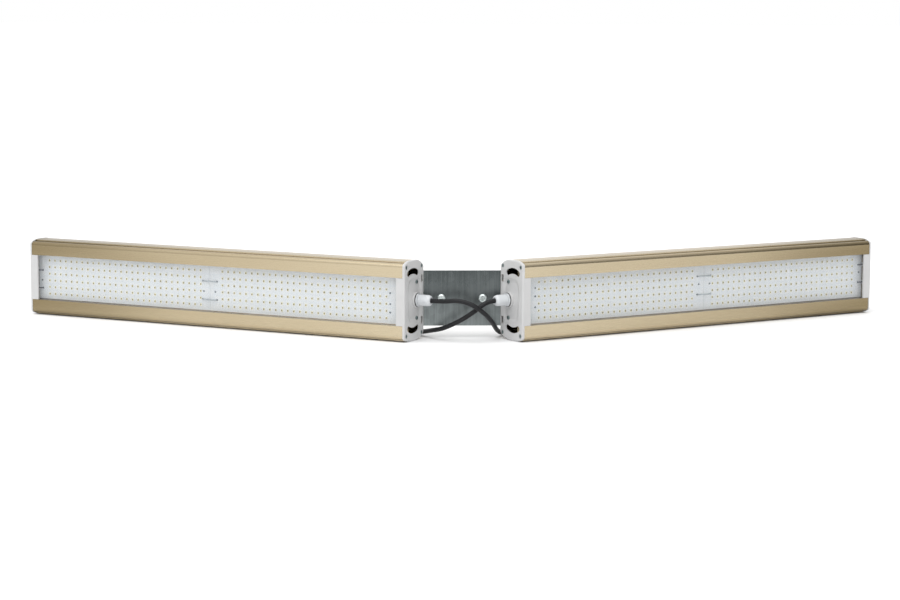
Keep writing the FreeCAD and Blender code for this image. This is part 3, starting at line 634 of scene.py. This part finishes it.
def add_floor():
    """A wide white surface that the pair stands on."""
    mesh = bmesh.new()
    bmesh.ops.create_circle(mesh, cap_ends=True, segments=96, radius=FLOOR_R)
    data = bpy.data.meshes.new("floor")
    mesh.to_mesh(data)
    mesh.free()
    floor = bpy.data.objects.new("floor", data)
    bpy.context.scene.collection.objects.link(floor)
    material, _, shader = start_material("floor_paint", (0.9, 0.9, 0.9), 0.9)
    shader.inputs["Specular IOR Level"].default_value = 0
    data.materials.append(material)


def add_studio_walls(world):
    """White in front of the pair and behind it, a little softer far left and dim far right."""
    tree = world.node_tree
    source = tree.nodes.new("ShaderNodeTexCoord")
    split = tree.nodes.new("ShaderNodeSeparateXYZ")
    tree.links.new(source.outputs["Generated"], split.inputs["Vector"])
    sideways = tree.nodes.new("ShaderNodeMapRange")
    sideways.inputs["From Min"].default_value = -1
    tree.links.new(split.outputs["X"], sideways.inputs["Value"])
    stops = [(at, (tone, tone, tone)) for at, tone in WALL_TONES]
    add_ramp(tree, sideways.outputs["Result"], stops, tree.nodes["Background"].inputs["Color"])


def add_sun(name, strength, angle, azimuth, elevation):
    """A broad soft light; azimuth 0 shines from the front, and positive ones from the right."""
    light = bpy.data.lights.new(name, "SUN")
    light.energy = strength
    light.angle = math.radians(angle)
    sun = bpy.data.objects.new(name, light)
    bpy.context.scene.collection.objects.link(sun)
    a = math.radians(azimuth)
    e = math.radians(elevation)
    source = Vector((math.sin(a) * math.cos(e), -math.cos(a) * math.cos(e), math.sin(e)))
    sun.rotation_mode = "QUATERNION"
    sun.rotation_quaternion = source.to_track_quat("Z", "Y")


def light_scene():
    """White walls and one broad light from above."""
    scene = bpy.context.scene
    scene.view_settings.view_transform = "Standard"
    world = bpy.data.worlds.new("studio")
    world.use_nodes = True
    add_studio_walls(world)
    scene.world = world
    add_sun("overhead", strength=1.6, angle=70, azimuth=-10, elevation=68)


# ---- everything ----

add_camera()
sheath = cable_sheath()
cables = {side: add_cable(side, sheath) for side in SIDES}

white_cap = moulded_white("white_cap", (0.57, 0.57, 0.57), 0.34)
white_nylon = moulded_white("white_nylon", (0.62, 0.64, 0.66), 0.36)
zinc = bright_zinc()
# Dark greenish-grey zinc for the cap screws, darkened further with painted shade of the recesses
# they sit in.
dark_zinc_and_painted_shade = bare_metal("dark_zinc_and_painted_shade", (0.25, 0.31, 0.31), 0.4)
galvanised = galvanised_sheet()
clear = clear_cover_plastic()
rubber = plain_plastic("seal_rubber", (0.03, 0.03, 0.03), 0.6)
strap_nylon = plain_plastic("tie_plastic", (0.035, 0.035, 0.035), 0.45)
pale_wire = plain_plastic("pale_wire", (0.34, 0.39, 0.42), 0.45)
dark_wire = plain_plastic("dark_wire", (0.05, 0.06, 0.08), 0.45)
block_nylon = plain_plastic("block_nylon", (0.72, 0.72, 0.70), 0.45)
driver_case = bare_metal("driver_case", (0.60, 0.62, 0.64), 0.42)
solder = bare_metal("solder", (0.12, 0.15, 0.17), 0.4)
copper = bare_metal("copper", (0.80, 0.42, 0.25), 0.32)
led_finishes = [
    plain_plastic("led_package", (0.86, 0.83, 0.62), 0.4, size=0.02),
    plain_plastic("led_phosphor", (0.82, 0.75, 0.42), 0.35, size=0.02),
    plain_plastic("led_middle", (0.03, 0.02, 0.015), 0.4, size=0.02, gloss=0.15),
]
core_finishes = {
    "brown": plain_plastic("core_brown", (0.14, 0.06, 0.03), 0.45),
    "green_yellow": plain_plastic("core_green_yellow", (0.30, 0.42, 0.06), 0.45),
    "blue": plain_plastic("core_blue", (0.05, 0.13, 0.42), 0.45),
}

finishes = {
    "pair": {
        "bracket_plate": galvanised,
        "centre_bolts": zinc,
        "centre_washers": zinc,
        "centre_nuts": zinc,
    }
}
for side in SIDES:
    mask = board_mask(side)
    finishes[side] = {
        "housing": gold_anodised(side),
        "clear_cover": clear,
        "inner_end_cap": white_cap,
        "outer_end_cap": white_cap,
        "inner_cap_screws": dark_zinc_and_painted_shade,
        "outer_cap_screws": dark_zinc_and_painted_shade,
        "led_board_inner": mask,
        "led_board_outer": mask,
        "jumper_wires": pale_wire,
        "supply_wires": dark_wire,
        "driver_tray": galvanised,
        "driver": driver_case,
        "driver_screws": zinc,
        "terminal_block": block_nylon,
        "driver_leads": dark_wire,
        "gland_gasket": rubber,
        "gland_body": white_nylon,
        "gland_locknut": white_nylon,
        "gland_seal": rubber,
        "gland_nut": white_nylon,
        "cable_entry": sheath,
        "slot_bolts": zinc,
        "slot_nuts": zinc,
    }
    for which in FIRST_COLUMN:
        add_leds(side, which, led_finishes)
    add_pads(side, solder)
    extras = add_cores(side, core_finishes, copper) + [add_tie(side, strap_nylon)]
dress_nodes(finishes)
add_floor()
light_scene()
